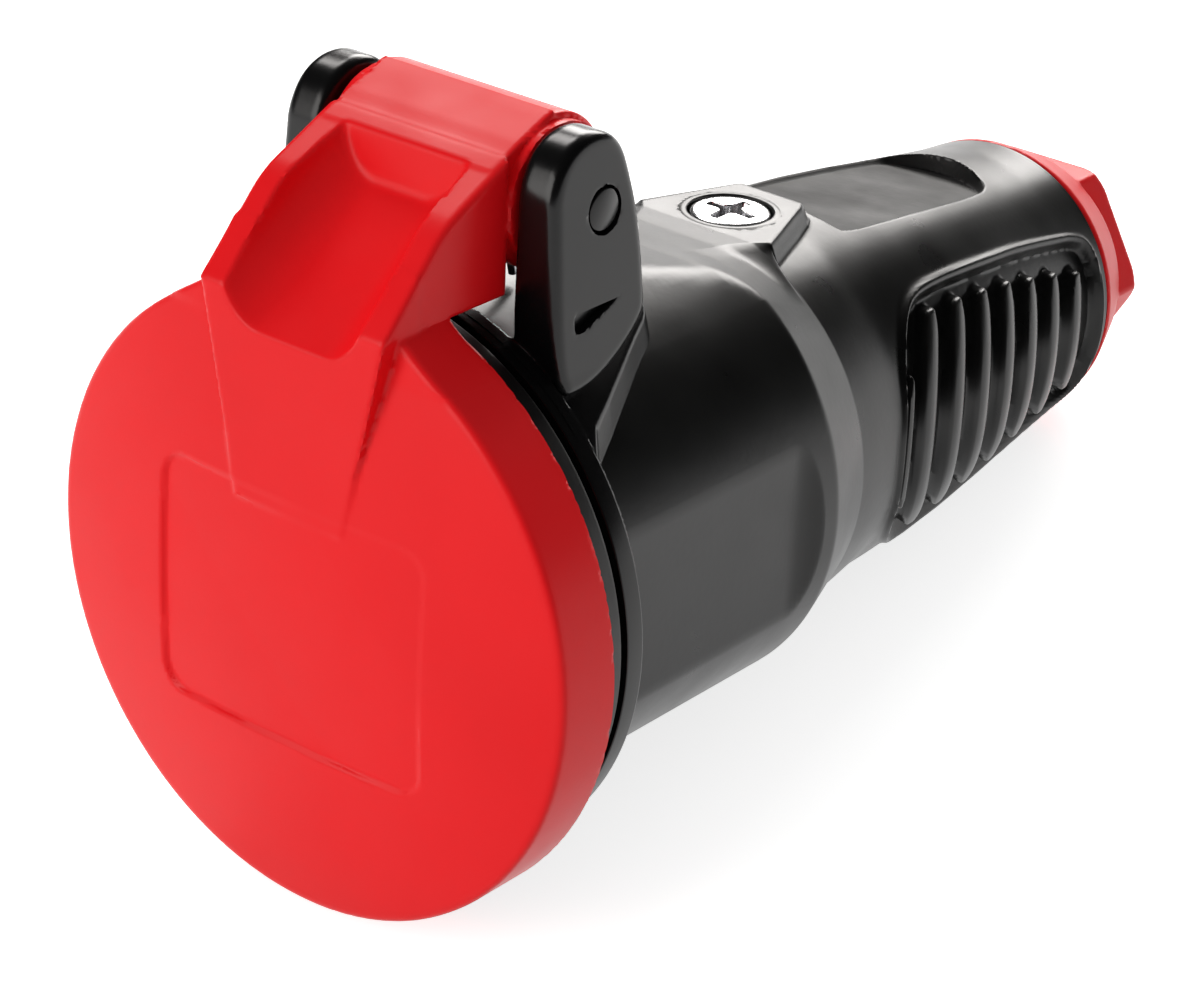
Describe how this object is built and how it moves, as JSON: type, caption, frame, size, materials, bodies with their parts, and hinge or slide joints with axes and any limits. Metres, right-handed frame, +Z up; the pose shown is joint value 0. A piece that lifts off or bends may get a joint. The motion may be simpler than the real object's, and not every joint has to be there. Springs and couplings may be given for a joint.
{
  "type": "extension socket",
  "caption": "Rubber extension socket with an earthed plug recess under a self-closing hinged lid, ribbed grips and a screw-on cable gland.",
  "frame": {"origin": "centre of the bounding box at the floor, under the middle of the socket", "axes": "+Y from the lid to the cable end, +Z up towards the hinge, +X to the right seen from the lid; the part lies on its lid's rim and its nut, so the socket axis slopes down by 8 degrees towards +Y"},
  "size_m": [0.058, 0.1202, 0.0693],
  "materials": {
    "housing_rubber": "satin black moulded rubber",
    "collar_plastic": "black plastic with a soft gloss",
    "lip_rubber": "soft black rubber",
    "insert_plastic": "matte black plastic",
    "contact_brass": "plain brass",
    "screw_steel": "bright zinc-plated steel",
    "spring_steel": "drawn spring wire",
    "nut_plastic": "red moulded plastic",
    "lid_plastic": "red moulded plastic"
  },
  "bodies": {
    "socket": {"rubber_housing": "housing_rubber", "front_collar": "collar_plastic", "front_lip": "lip_rubber", "socket_insert": "insert_plastic", "terminal_carrier": "insert_plastic", "contact_right": "contact_brass", "contact_left": "contact_brass", "earth_strap": "contact_brass", "earth_terminal": "contact_brass", "terminal_screw_right": "screw_steel", "terminal_screw_left": "screw_steel", "terminal_screw_earth": "screw_steel", "housing_screw": "screw_steel", "clamp_cage": "insert_plastic", "cable_grommet": "lip_rubber", "gland_nut": "nut_plastic", "hinge_pin": "collar_plastic", "lid_spring": "spring_steel"},
    "lid": {"lid": "lid_plastic", "lid_seal": "lip_rubber"}
  },
  "joints": [
    {"name": "lid_hinge", "type": "hinge", "parent": "socket", "child": "lid", "pos_m": [0, -0.03172, 0.062], "axis": [-1, 0, 0], "range_deg": [0, 110], "stiffness_Nm_per_rad": 0.02, "springref_deg": -85.94, "deforming": ["lid_spring"]}
  ]
}
